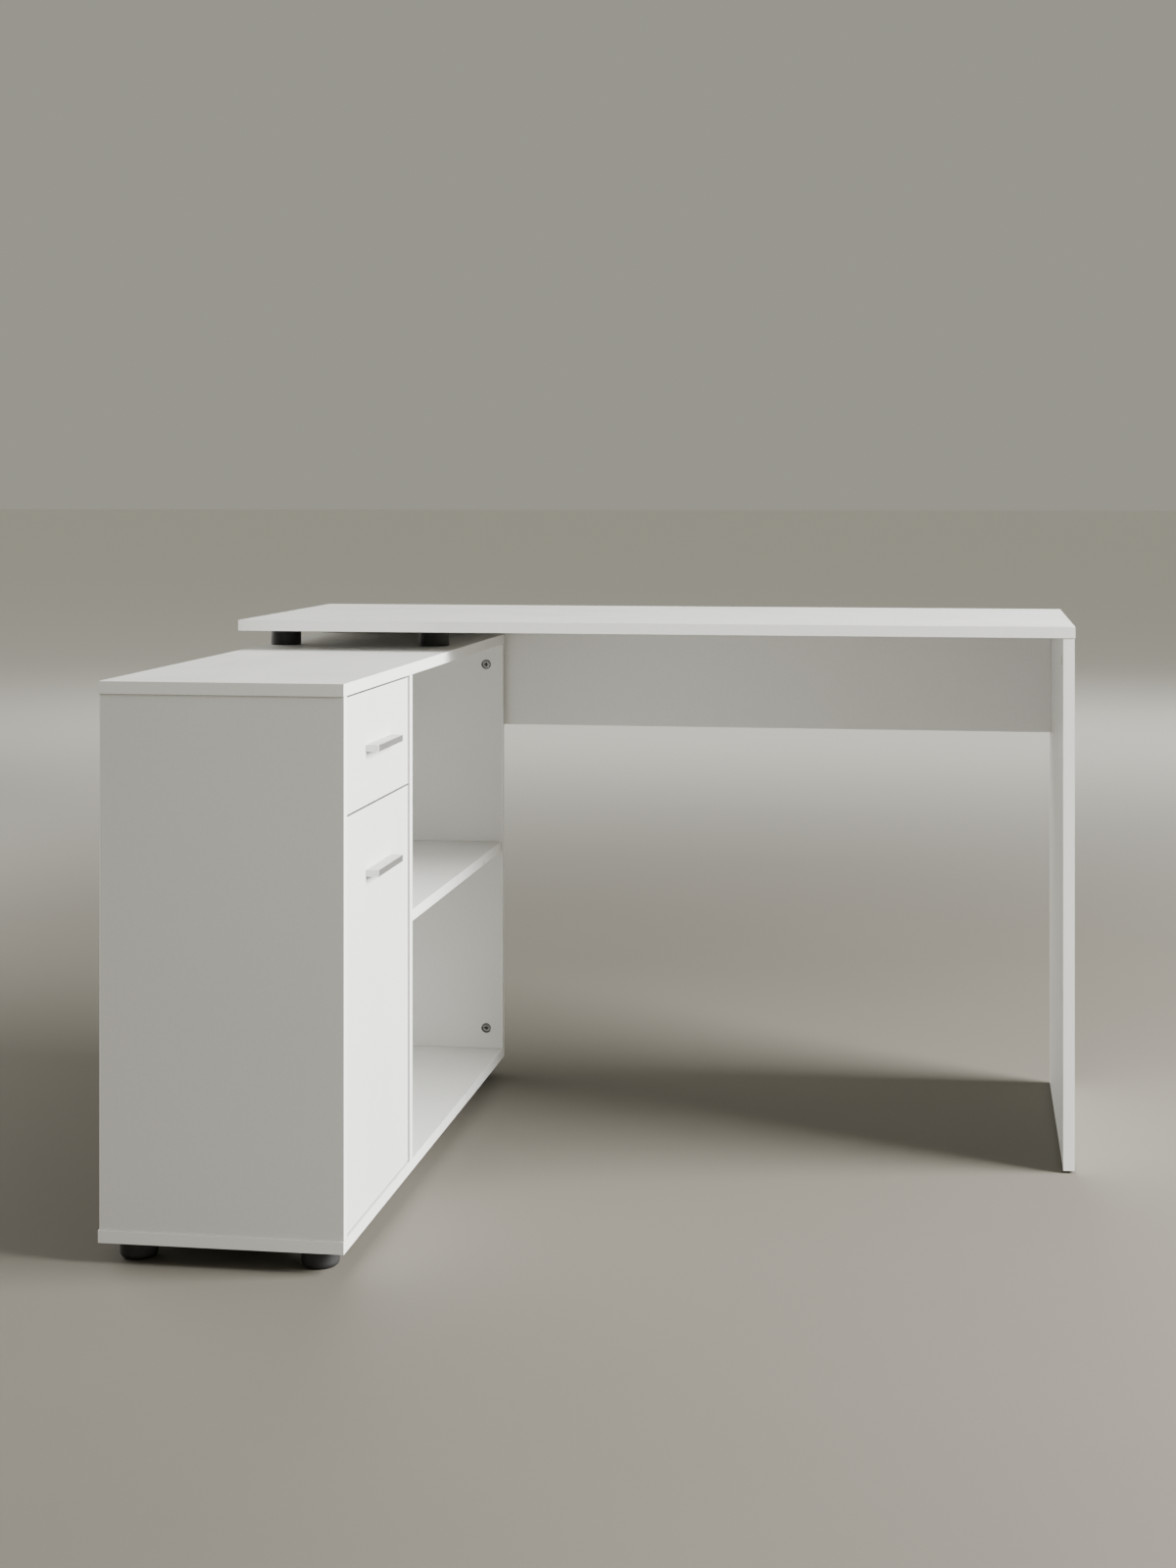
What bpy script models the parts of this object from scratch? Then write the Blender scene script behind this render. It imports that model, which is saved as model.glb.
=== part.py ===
"""Corner desk in melamine-faced board.

A long desktop stands on a low cabinet at its left end and on a leg panel at its right end. The cabinet
lies across the desktop, towards the user, with a drawer over a cupboard in its near bay and an open bay
with one shelf beyond it. A modesty panel ties the cabinet to the leg panel under the desktop.

Metres, +Z up. X runs along the desktop, Y runs away from the user, and the origin is on the floor under
the middle of the whole desk. "near" and "far" are along Y; "front" and "back" are the cabinet's own
sides, its front facing +X. Every piece is its own object, seated on its neighbour with a hair gap.
"""

import math

import bmesh
import bpy
from mathutils import Vector

# ---------------------------------------------------------------- driving dimensions
DESKTOP_LENGTH = 1.165
DESKTOP_DEPTH = 0.500
DESKTOP_HEIGHT = 0.735
CABINET_LENGTH = 1.000
CABINET_DEPTH = 0.300
BACK_OVERHANG = 0.060          # desktop beyond the cabinet's far end
NEAR_BAY_WIDTH = 0.325         # clear width behind the drawer and the door
MODESTY_HEIGHT = 0.170

BOARD = 0.015                  # every panel
DRAWER_BOARD = 0.012           # the drawer box
HARDBOARD = 0.003              # cabinet back and drawer bottom

SEAT_GAP = 0.0003              # between pieces that touch
HOLE_CLEARANCE = 0.0003        # a hole's radius over its pin's radius
FRONT_SETBACK = 0.002          # drawer front and door behind the carcass edges
FRONT_REVEAL = 0.003           # round the drawer front and the door
FRONT_SPLIT = 0.003            # between the drawer front and the door
END_SETBACK = 0.0015           # end panels behind the top and bottom panels at the back
END_INSET = 0.001              # and at the cabinet's two ends
REBATE_LAP = 0.008             # back panel into the carcass panels
LEG_INSET = 0.001              # leg panel under the desktop's end and front edge
SHELF_SETBACK = 0.002          # open shelf behind the carcass edges

FOOT_RADIUS = 0.023
FOOT_HEIGHT = 0.025
FOOT_ROUND = 0.007
FOOT_INSET = 0.038
SPACER_RADIUS = 0.022
SPACER_HEIGHT = 0.028
SPACER_BACK_INSET = 0.0295     # cabinet's back to the back spacer's middle
SPACER_FRONT_INSET = 0.0475
SPACER_DESK_INSET = 0.142      # desktop's front edge to the spacers' middles
EDGE_BREAK = 0.001             # small chamfer on turned pieces

GLIDE_HEIGHT = 0.003
GLIDE_MARGIN = 0.0025          # leg panel's edge showing each side of a glide
GLIDE_LENGTH = 0.040
GLIDE_INSET = 0.006

DRAWER_FRONT_HEIGHT = 0.138
DRAWER_TOP_DROP = 0.031        # box's upper edge under the drawer front's upper edge
DRAWER_SIDE_RISE = 0.012       # box's lower edge over the drawer front's lower edge
DRAWER_BACK_CLEARANCE = 0.028  # box to the cabinet's back panel
BOTTOM_RISE = 0.010            # drawer bottom over the box's lower edge
GROOVE_DEPTH = 0.006

RUNNER_SPACE = 0.0125          # between the drawer box and the carcass, each side
RUNNER_SHEET = 0.0012
RUNNER_HEIGHT = 0.030
RUNNER_CLEARANCE = 0.0015      # between the fixed and the sliding profile
RUNNER_SETBACK = 0.002         # channel behind the drawer front, and beyond the box
ROLLER_RADIUS = 0.007
ROLLER_WIDTH = 0.006
ROLLER_PIN_RADIUS = 0.002
ROLLER_END_MARGIN = 0.003      # roller's rim to the end of its runner

HANDLE_LENGTH = 0.128
HANDLE_REACH = 0.016
HANDLE_HEIGHT = 0.008
HANDLE_LIP = 0.0035            # front wall
HANDLE_ROOF = 0.0025           # over the finger hollow
HANDLE_POST = 0.008            # solid end round each screw
DOOR_HANDLE_DROP = 0.080       # door's upper edge to its handle's middle

CUP_RADIUS = 0.0175
CUP_DEPTH = 0.0115
CUP_WALL = 0.001
CUP_RIM = 0.0035               # flange beyond the cup
CUP_FLANGE = 0.0012
CUP_EDGE = 0.0045              # door's edge to the cup's rim
HINGE_INSET = 0.095            # door's upper or lower edge to the hinge's middle
ARM_HEIGHT = 0.014
ARM_WIDTH = 0.011
ARM_LENGTH = 0.058
ARM_PLATE = 0.002
ARM_NOSE = 0.008
ARM_CLEARANCE = 0.001          # hinge arm behind the cup's flange

PIN_RADIUS = 0.0025            # shelf pin
PIN_LENGTH = 0.008             # in the panel, and under the shelf
PIN_COLLAR_RIM = 0.0015
PIN_COLLAR = 0.0012
PIN_INSET = 0.037
PIN_PITCH = 0.032
PIN_HOLES_EACH_WAY = 1         # spare holes over and under each pin
SHELF_CLEARANCE = 0.002
CUPBOARD_SHELF_SETBACK = 0.020

CAM_RADIUS = 0.0075
CAM_DEPTH = 0.0105
CAM_FRONT_INSET = 0.026
CAM_JOINT_INSET = 0.032        # from the joint that the cam pulls together
LEG_CAM_FRONT_INSET = 0.045
LEG_CAM_BACK_INSET = 0.022

SCREW_RADIUS = 0.0019
SCREW_HEAD_RIM = 0.0021
SCREW_HEAD = 0.0022
HANDLE_SCREW_BITE = 0.008
PANEL_SCREW_COVER = 0.004      # board left beyond the tip
PANEL_SCREW_INSET = 0.050

ROUND_SIDES = 32
SMALL_SIDES = 16

# ---------------------------------------------------------------- planes worked out from them
x_back = -DESKTOP_LENGTH / 2
x_front = x_back + CABINET_DEPTH
x_right = DESKTOP_LENGTH / 2
y_near = -(CABINET_LENGTH + BACK_OVERHANG) / 2
y_far = y_near + CABINET_LENGTH
y_desk_back = y_far + BACK_OVERHANG
y_desk_front = y_desk_back - DESKTOP_DEPTH

z_desk_under = DESKTOP_HEIGHT - BOARD
z_cabinet_top = z_desk_under - SPACER_HEIGHT
z_bay_top = z_cabinet_top - BOARD
z_bay_bottom = FOOT_HEIGHT + BOARD

y_end_near = y_near + END_INSET
y_end_far = y_far - END_INSET
y_bay_near = y_end_near + BOARD
y_bay_far = y_bay_near + NEAR_BAY_WIDTH
y_open_near = y_bay_far + BOARD
y_open_far = y_end_far - BOARD
y_divider = (y_bay_far + y_open_near) / 2

x_ends_back = x_back + END_SETBACK
x_hardboard = x_ends_back + HARDBOARD
x_inner_back = x_hardboard + SEAT_GAP

x_fronts = x_front - FRONT_SETBACK
x_fronts_back = x_fronts - BOARD
y_fronts_near = y_bay_near + FRONT_REVEAL
y_fronts_far = y_bay_far - FRONT_REVEAL
z_drawer_front_top = z_bay_top - FRONT_REVEAL
z_drawer_front_bottom = z_drawer_front_top - DRAWER_FRONT_HEIGHT
z_door_top = z_drawer_front_bottom - FRONT_SPLIT
z_door_bottom = z_bay_bottom + FRONT_REVEAL
z_cupboard_shelf = (z_bay_bottom + z_door_top) / 2

y_box_near = y_bay_near + RUNNER_SPACE
y_box_far = y_bay_far - RUNNER_SPACE
x_box_front = x_fronts_back - SEAT_GAP
x_box_back = x_inner_back + DRAWER_BACK_CLEARANCE
z_box_bottom = z_drawer_front_bottom + DRAWER_SIDE_RISE
z_box_top = z_drawer_front_top - DRAWER_TOP_DROP
z_drawer_bottom = z_box_bottom + BOTTOM_RISE

z_lip = z_box_bottom - SEAT_GAP - RUNNER_SHEET
z_runner = z_lip - RUNNER_SHEET - RUNNER_CLEARANCE
z_roller = z_runner + RUNNER_SHEET + SEAT_GAP + ROLLER_RADIUS
z_flange = z_roller + ROLLER_RADIUS + SEAT_GAP


# ---------------------------------------------------------------- materials
def finish(name, color, roughness, metallic=0.0):
    material = bpy.data.materials.new(name)
    material.use_nodes = True
    shader = material.node_tree.nodes["Principled BSDF"]
    shader.inputs["Base Color"].default_value = (*color, 1.0)
    shader.inputs["Roughness"].default_value = roughness
    shader.inputs["Metallic"].default_value = metallic
    return material


# ---------------------------------------------------------------- shape tools
def add_object(name, mesh, material):
    piece = bpy.data.objects.new(name, mesh)
    if material is None:
        piece.hide_render = True
        piece.display_type = "WIRE"
    else:
        mesh.materials.append(material)
    bpy.context.scene.collection.objects.link(piece)
    return piece


def finish_mesh(bm, name):
    bmesh.ops.recalc_face_normals(bm, faces=bm.faces)
    mesh = bpy.data.meshes.new(name)
    bm.to_mesh(mesh)
    bm.free()
    return mesh


def board(name, low, high, material=None):
    """Rectangular panel between two corners, with its origin at its middle."""
    middle = (Vector(low) + Vector(high)) / 2
    size = Vector(high) - Vector(low)
    bm = bmesh.new()
    bmesh.ops.create_cube(bm, size=1.0)
    bmesh.ops.scale(bm, vec=size, verts=bm.verts)
    piece = add_object(name, finish_mesh(bm, name), material)
    piece.location = middle
    return piece


def prism(name, outline, along, start, end, material=None):
    """Outline in the two axes after `along`, in X, Y, Z order, pushed from start to end along it."""
    def corner(point, depth):
        coordinates = list(point)
        coordinates.insert("XYZ".index(along), depth)
        return coordinates

    bm = bmesh.new()
    first = [bm.verts.new(corner(point, start)) for point in outline]
    last = [bm.verts.new(corner(point, end)) for point in outline]
    bm.faces.new(first)
    bm.faces.new(last)
    for index in range(len(outline)):
        after = (index + 1) % len(outline)
        bm.faces.new((first[index], first[after], last[after], last[index]))
    return add_object(name, finish_mesh(bm, name), material)


TURNS = {
    "+X": (0.0, math.pi / 2, 0.0),
    "-X": (0.0, -math.pi / 2, 0.0),
    "+Y": (-math.pi / 2, 0.0, 0.0),
    "-Y": (math.pi / 2, 0.0, 0.0),
    "+Z": (0.0, 0.0, 0.0),
}


def turned(name, profile, location, axis, material=None, sides=SMALL_SIDES, bored=False):
    """Profile of (radius, height) points turned about its own axis, which then points along `axis`.

    A bored profile closes on itself; any other one is capped flat at both ends.
    """
    bm = bmesh.new()
    rings = []
    for radius, height in profile:
        ring = []
        for side in range(sides):
            angle = 2 * math.pi * side / sides
            ring.append(bm.verts.new((radius * math.cos(angle), radius * math.sin(angle), height)))
        rings.append(ring)
    pairs = list(zip(rings, rings[1:]))
    if bored:
        pairs.append((rings[-1], rings[0]))
    else:
        bm.faces.new(rings[0])
        bm.faces.new(rings[-1])
    for lower, upper in pairs:
        for side in range(sides):
            after = (side + 1) % sides
            bm.faces.new((lower[side], lower[after], upper[after], upper[side]))
    mesh = finish_mesh(bm, name)
    mesh.shade_smooth()
    mesh.set_sharp_from_angle(angle=math.radians(40))
    piece = add_object(name, mesh, material)
    piece.location = location
    piece.rotation_euler = TURNS[axis]
    return piece


def combine(piece, tool, operation):
    modifier = piece.modifiers.new(tool.name, "BOOLEAN")
    modifier.object = tool
    modifier.operation = operation
    modifier.solver = "EXACT"


def drill(pieces, name, location, axis, radius, depth, reach, sides=SMALL_SIDES):
    """Hole for a pin of `radius`, `depth` deep from location along axis, starting `reach` before it."""
    bore = radius + HOLE_CLEARANCE
    hole = turned(name, [(bore, -reach), (bore, depth)], location, axis, None, sides)
    for piece in pieces:
        combine(piece, hole, "DIFFERENCE")


def rounded_bar(low, high, steps=6):
    """Outline of a flat bar with round ends, longer in its second direction."""
    radius = (high[0] - low[0]) / 2
    middle = (high[0] + low[0]) / 2
    points = []
    for step in range(steps + 1):
        angle = math.pi * step / steps
        points.append((middle + radius * math.cos(angle), high[1] - radius + radius * math.sin(angle)))
    for step in range(steps + 1):
        angle = math.pi + math.pi * step / steps
        points.append((middle + radius * math.cos(angle), low[1] + radius + radius * math.sin(angle)))
    return points


def empty_at(name, location):
    holder = bpy.data.objects.new(name, None)
    holder.location = location
    bpy.context.scene.collection.objects.link(holder)
    return holder


def hang(pieces, holder):
    """Parent pieces to the empty on their joint, where they already stand."""
    for piece in pieces:
        piece.parent = holder
        piece.location = Vector(piece.location) - Vector(holder.location)


# ---------------------------------------------------------------- cabinet carcass
def make_carcass(white, back_white):
    top = board("cabinet_top_panel", (x_back, y_near, z_bay_top), (x_front, y_far, z_cabinet_top), white)
    bottom = board("cabinet_bottom_panel", (x_back, y_near, FOOT_HEIGHT), (x_front, y_far, z_bay_bottom), white)
    low = z_bay_bottom + SEAT_GAP
    high = z_bay_top - SEAT_GAP
    near_end = board("near_end_panel", (x_ends_back, y_end_near, low), (x_front, y_bay_near, high), white)
    far_end = board("far_end_panel", (x_ends_back, y_open_far, low), (x_front, y_end_far, high), white)
    divider = board("divider_panel", (x_inner_back, y_bay_far, low), (x_front, y_open_near, high), white)
    board(
        "back_panel",
        (x_ends_back, y_bay_near - REBATE_LAP, z_bay_bottom - REBATE_LAP),
        (x_hardboard, y_open_far + REBATE_LAP, z_bay_top + REBATE_LAP),
        back_white,
    )
    rebate = board(
        "back_rebate",
        (x_back - BOARD, y_bay_near - REBATE_LAP - SEAT_GAP, z_bay_bottom - REBATE_LAP - SEAT_GAP),
        (x_inner_back, y_open_far + REBATE_LAP + SEAT_GAP, z_bay_top + REBATE_LAP + SEAT_GAP),
    )
    for piece in (top, bottom, near_end, far_end):
        combine(piece, rebate, "DIFFERENCE")
    z_open_shelf = (z_bay_bottom + z_bay_top) / 2
    board(
        "open_bay_shelf",
        (x_inner_back, y_open_near + SEAT_GAP, z_open_shelf - BOARD / 2),
        (x_front - SHELF_SETBACK, y_open_far - SEAT_GAP, z_open_shelf + BOARD / 2),
        white,
    )
    return near_end, far_end, divider


def make_cupboard_shelf(near_end, divider, white, steel):
    x_shelf_back = x_inner_back + SHELF_CLEARANCE
    x_shelf_front = x_fronts_back - CUPBOARD_SHELF_SETBACK
    z_pin = z_cupboard_shelf - BOARD / 2 - SEAT_GAP - PIN_RADIUS
    board(
        "cupboard_shelf",
        (x_shelf_back, y_bay_near + SHELF_CLEARANCE, z_cupboard_shelf - BOARD / 2),
        (x_shelf_front, y_bay_far - SHELF_CLEARANCE, z_cupboard_shelf + BOARD / 2),
        white,
    )
    profile = [
        (PIN_RADIUS, -PIN_LENGTH),
        (PIN_RADIUS, SEAT_GAP),
        (PIN_RADIUS + PIN_COLLAR_RIM, SEAT_GAP),
        (PIN_RADIUS + PIN_COLLAR_RIM, SEAT_GAP + PIN_COLLAR),
        (PIN_RADIUS, SEAT_GAP + PIN_COLLAR),
        (PIN_RADIUS, PIN_LENGTH),
    ]
    sides = {"near": (near_end, y_bay_near, "+Y", "-Y"), "far": (divider, y_bay_far, "-Y", "+Y")}
    columns = {"back": x_shelf_back + PIN_INSET, "front": x_shelf_front - PIN_INSET}
    for side, (panel, y_face, out_of_panel, into_panel) in sides.items():
        for column, x_pin in columns.items():
            turned(f"shelf_pin_{side}_{column}", profile, (x_pin, y_face, z_pin), out_of_panel, steel)
            for row in range(-PIN_HOLES_EACH_WAY, PIN_HOLES_EACH_WAY + 1):
                place = (x_pin, y_face, z_pin + row * PIN_PITCH)
                name = f"pin_hole_{side}_{column}_{row}"
                drill([panel], name, place, into_panel, PIN_RADIUS, PIN_LENGTH + SEAT_GAP, BOARD / 2)


def make_feet_and_spacers(black):
    foot = [(FOOT_RADIUS - FOOT_ROUND, 0.0)]
    for degrees in (30, 60, 90):
        angle = math.radians(degrees)
        radius = FOOT_RADIUS - FOOT_ROUND + FOOT_ROUND * math.sin(angle)
        foot.append((radius, FOOT_ROUND - FOOT_ROUND * math.cos(angle)))
    foot.append((FOOT_RADIUS, FOOT_HEIGHT - SEAT_GAP - EDGE_BREAK))
    foot.append((FOOT_RADIUS - EDGE_BREAK, FOOT_HEIGHT - SEAT_GAP))
    rows = {"near": y_near + FOOT_INSET, "middle": y_divider, "far": y_far - FOOT_INSET}
    columns = {"back": x_back + FOOT_INSET, "front": x_front - FOOT_INSET}
    for row, y_foot in rows.items():
        for column, x_foot in columns.items():
            turned(f"foot_{row}_{column}", foot, (x_foot, y_foot, 0.0), "+Z", black, ROUND_SIDES)

    spacer = [
        (SPACER_RADIUS - EDGE_BREAK, SEAT_GAP),
        (SPACER_RADIUS, SEAT_GAP + EDGE_BREAK),
        (SPACER_RADIUS, SPACER_HEIGHT - SEAT_GAP - EDGE_BREAK),
        (SPACER_RADIUS - EDGE_BREAK, SPACER_HEIGHT - SEAT_GAP),
    ]
    columns = {"back": x_back + SPACER_BACK_INSET, "front": x_front - SPACER_FRONT_INSET}
    for column, x_spacer in columns.items():
        place = (x_spacer, y_desk_front + SPACER_DESK_INSET, z_cabinet_top)
        turned(f"spacer_{column}", spacer, place, "+Z", black, ROUND_SIDES)


# ---------------------------------------------------------------- desktop, leg and modesty panel
def make_desk(far_end, white, black, steel):
    board("desktop", (x_back, y_desk_front, z_desk_under), (x_right, y_desk_back, DESKTOP_HEIGHT), white)
    x_leg = x_right - LEG_INSET - BOARD
    y_leg = y_desk_front + LEG_INSET
    z_under = z_desk_under - SEAT_GAP
    leg = board(
        "leg_panel",
        (x_leg, y_leg, GLIDE_HEIGHT + SEAT_GAP),
        (x_leg + BOARD, y_desk_back, z_under),
        white,
    )
    y_modesty = y_far + SEAT_GAP
    y_modesty_back = y_modesty + BOARD
    modesty = board(
        "modesty_panel",
        (x_ends_back, y_modesty, z_under - MODESTY_HEIGHT),
        (x_leg - SEAT_GAP, y_modesty_back, z_under),
        white,
    )
    glides = {
        "near": (y_leg + GLIDE_INSET, y_leg + GLIDE_INSET + GLIDE_LENGTH),
        "far": (y_desk_back - GLIDE_INSET - GLIDE_LENGTH, y_desk_back - GLIDE_INSET),
    }
    for row, (y_start, y_end) in glides.items():
        outline = rounded_bar((x_leg + GLIDE_MARGIN, y_start), (x_leg + BOARD - GLIDE_MARGIN, y_end))
        prism(f"leg_glide_{row}", outline, "Z", 0.0, GLIDE_HEIGHT, black)

    z_leg_cam = z_under - CAM_JOINT_INSET
    add_cam("leg_cam_near", leg, (x_leg, y_leg + LEG_CAM_FRONT_INSET, z_leg_cam), "+X", steel)
    add_cam("leg_cam_far", leg, (x_leg, y_desk_back - LEG_CAM_BACK_INSET, z_leg_cam), "+X", steel)

    z_screw = (z_bay_top + z_under - MODESTY_HEIGHT) / 2
    for side, x_screw in (("back", x_back + PANEL_SCREW_INSET), ("front", x_front - PANEL_SCREW_INSET)):
        place = (x_screw, y_modesty_back, z_screw)
        length = 2 * BOARD + SEAT_GAP - PANEL_SCREW_COVER
        add_screw(f"modesty_screw_{side}", [modesty, far_end], place, "-Y", length, steel)


def add_cam(name, panel, location, into_panel, steel):
    """Cam lock disc let into a panel's face, flush with it."""
    drill([panel], f"{name}_pocket", location, into_panel, CAM_RADIUS, CAM_DEPTH + SEAT_GAP, CAM_DEPTH)
    profile = [(CAM_RADIUS - EDGE_BREAK / 2, 0.0), (CAM_RADIUS, EDGE_BREAK / 2), (CAM_RADIUS, CAM_DEPTH)]
    turned(name, profile, location, into_panel, steel)


def add_screw(name, panels, location, direction, length, steel):
    """Pan-head screw driven along direction from a face at location, through what it holds."""
    head = SCREW_RADIUS + SCREW_HEAD_RIM
    profile = [
        (head - EDGE_BREAK, -SEAT_GAP - SCREW_HEAD),
        (head, -SEAT_GAP - SCREW_HEAD + EDGE_BREAK),
        (head, -SEAT_GAP),
        (SCREW_RADIUS, -SEAT_GAP),
        (SCREW_RADIUS, length - EDGE_BREAK),
        (SCREW_RADIUS - EDGE_BREAK, length),
    ]
    drill(panels, f"{name}_hole", location, direction, SCREW_RADIUS, length + SEAT_GAP, SCREW_HEAD)
    return turned(name, profile, location, direction, steel)


def add_far_end_cams(far_end, steel):
    x_cams = {"front": x_front - CAM_FRONT_INSET, "back": x_ends_back + HARDBOARD + CAM_FRONT_INSET}
    z_cams = {"top": z_bay_top - CAM_JOINT_INSET, "bottom": z_bay_bottom + CAM_JOINT_INSET}
    for height, z_cam in z_cams.items():
        for side, x_cam in x_cams.items():
            add_cam(f"end_cam_{height}_{side}", far_end, (x_cam, y_open_far, z_cam), "+Y", steel)


# ---------------------------------------------------------------- handles
def add_handle(name, panel, z_middle, aluminium, steel):
    """Ledge handle across the middle of a front, hollow underneath, with its two screws from behind."""
    y_middle = (y_fronts_near + y_fronts_far) / 2
    y_start = y_middle - HANDLE_LENGTH / 2
    y_end = y_middle + HANDLE_LENGTH / 2
    x_foot = x_fronts + SEAT_GAP
    x_out = x_fronts + HANDLE_REACH
    outline = [
        (x_foot, y_start),
        (x_out - EDGE_BREAK, y_start),
        (x_out, y_start + EDGE_BREAK),
        (x_out, y_end - EDGE_BREAK),
        (x_out - EDGE_BREAK, y_end),
        (x_foot, y_end),
    ]
    low = z_middle - HANDLE_HEIGHT / 2
    high = z_middle + HANDLE_HEIGHT / 2
    ledge = prism(name, outline, "Z", low, high, aluminium)
    hollow = board(
        f"{name}_hollow",
        (x_fronts, y_start + HANDLE_POST, low - HANDLE_HEIGHT),
        (x_out - HANDLE_LIP, y_end - HANDLE_POST, high - HANDLE_ROOF),
    )
    combine(ledge, hollow, "DIFFERENCE")
    pieces = [ledge]
    screws = {"near": y_start + HANDLE_POST / 2, "far": y_end - HANDLE_POST / 2}
    for side, y_screw in screws.items():
        place = (x_fronts_back, y_screw, z_middle)
        length = BOARD + HANDLE_SCREW_BITE
        pieces.append(add_screw(f"{name}_screw_{side}", [panel, ledge], place, "+X", length, steel))
    return pieces


# ---------------------------------------------------------------- drawer
def make_drawer(white, back_white, aluminium, steel, painted, black):
    front = board(
        "drawer_front",
        (x_fronts_back, y_fronts_near, z_drawer_front_bottom),
        (x_fronts, y_fronts_far, z_drawer_front_top),
        white,
    )
    sides = []
    for side, y_start in (("near", y_box_near), ("far", y_box_far - DRAWER_BOARD)):
        low = (x_box_back, y_start, z_box_bottom)
        high = (x_box_front, y_start + DRAWER_BOARD, z_box_top)
        sides.append(board(f"drawer_side_{side}", low, high, white))
    y_inner_near = y_box_near + DRAWER_BOARD
    y_inner_far = y_box_far - DRAWER_BOARD
    z_over_bottom = z_drawer_bottom + HARDBOARD + SEAT_GAP
    back = board(
        "drawer_back",
        (x_box_back, y_inner_near + SEAT_GAP, z_over_bottom),
        (x_box_back + DRAWER_BOARD, y_inner_far - SEAT_GAP, z_box_top),
        white,
    )
    bottom = board(
        "drawer_bottom",
        (x_box_back, y_inner_near - GROOVE_DEPTH, z_drawer_bottom),
        (x_fronts_back + GROOVE_DEPTH, y_inner_far + GROOVE_DEPTH, z_drawer_bottom + HARDBOARD),
        back_white,
    )
    groove = board(
        "drawer_groove",
        (x_box_back - BOARD, y_inner_near - GROOVE_DEPTH - SEAT_GAP, z_drawer_bottom - SEAT_GAP),
        (x_fronts_back + GROOVE_DEPTH + SEAT_GAP, y_inner_far + GROOVE_DEPTH + SEAT_GAP, z_over_bottom),
    )
    for piece in [front, *sides]:
        combine(piece, groove, "DIFFERENCE")
    z_handle = (z_drawer_front_bottom + z_drawer_front_top) / 2
    handle = add_handle("drawer_handle", front, z_handle, aluminium, steel)
    moving = [front, *sides, back, bottom, *handle]

    rollers = []
    for side, y_face, inward in (("near", y_bay_near, 1), ("far", y_bay_far, -1)):
        runner, pieces = make_runner(side, y_face, inward, painted, black)
        moving.append(runner)
        rollers.extend(pieces)
    hang(moving, empty_at("drawer_slide", (x_box_back, (y_box_near + y_box_far) / 2, z_box_bottom)))
    return rollers


def make_runner(side, y_face, inward, painted, black):
    """Roller runner pair: a channel on the carcass and a flange on the drawer, each with one roller."""
    def across(offset):
        return y_face + inward * offset

    x_channel_front = x_fronts_back - RUNNER_SETBACK
    x_channel_back = x_box_back - RUNNER_SETBACK
    web = SEAT_GAP + RUNNER_SHEET
    slide_face = RUNNER_SPACE - SEAT_GAP
    slide_web = slide_face - RUNNER_SHEET
    channel_end = slide_web - RUNNER_CLEARANCE
    channel = [
        (across(SEAT_GAP), z_runner),
        (across(channel_end), z_runner),
        (across(channel_end), z_runner + RUNNER_SHEET),
        (across(web), z_runner + RUNNER_SHEET),
        (across(web), z_runner + RUNNER_HEIGHT - RUNNER_SHEET),
        (across(channel_end), z_runner + RUNNER_HEIGHT - RUNNER_SHEET),
        (across(channel_end), z_runner + RUNNER_HEIGHT),
        (across(SEAT_GAP), z_runner + RUNNER_HEIGHT),
    ]
    fixed = prism(f"cabinet_runner_{side}", channel, "X", x_channel_back, x_channel_front, painted)

    flange_end = web + 2 * RUNNER_CLEARANCE
    lip_end = RUNNER_SPACE + DRAWER_BOARD
    slide = [
        (across(slide_web), z_lip),
        (across(lip_end), z_lip),
        (across(lip_end), z_lip + RUNNER_SHEET),
        (across(slide_face), z_lip + RUNNER_SHEET),
        (across(slide_face), z_runner + RUNNER_HEIGHT),
        (across(slide_web), z_runner + RUNNER_HEIGHT),
        (across(slide_web), z_flange + RUNNER_SHEET),
        (across(flange_end), z_flange + RUNNER_SHEET),
        (across(flange_end), z_flange),
        (across(slide_web), z_flange),
    ]
    moving = prism(f"drawer_runner_{side}", slide, "X", x_box_back, x_box_front - SEAT_GAP, painted)

    outward_axis = "+Y" if inward > 0 else "-Y"
    inward_axis = "-Y" if inward > 0 else "+Y"
    x_front_roller = x_channel_front - ROLLER_RADIUS - ROLLER_END_MARGIN
    x_back_roller = x_box_back + ROLLER_RADIUS + ROLLER_END_MARGIN
    front_start = across(web + SEAT_GAP)
    back_start = across(slide_web - SEAT_GAP)
    places = (
        ("front", fixed, x_front_roller, front_start, outward_axis),
        ("back", moving, x_back_roller, back_start, inward_axis),
    )
    rollers = []
    for end, runner, x_roller, y_start, axis in places:
        place = (x_roller, y_start, z_roller)
        pin = [(ROLLER_PIN_RADIUS, -SEAT_GAP - RUNNER_SHEET / 2), (ROLLER_PIN_RADIUS, ROLLER_WIDTH)]
        combine(runner, turned(f"roller_pin_{side}_{end}", pin, place, axis), "UNION")
        bore = ROLLER_PIN_RADIUS + HOLE_CLEARANCE
        profile = [
            (bore, 0.0),
            (ROLLER_RADIUS, 0.0),
            (ROLLER_RADIUS, ROLLER_WIDTH),
            (bore, ROLLER_WIDTH),
        ]
        name = f"runner_roller_{side}_{end}"
        rollers.append(turned(name, profile, place, axis, black, SMALL_SIDES, bored=True))
    return moving, rollers


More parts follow.
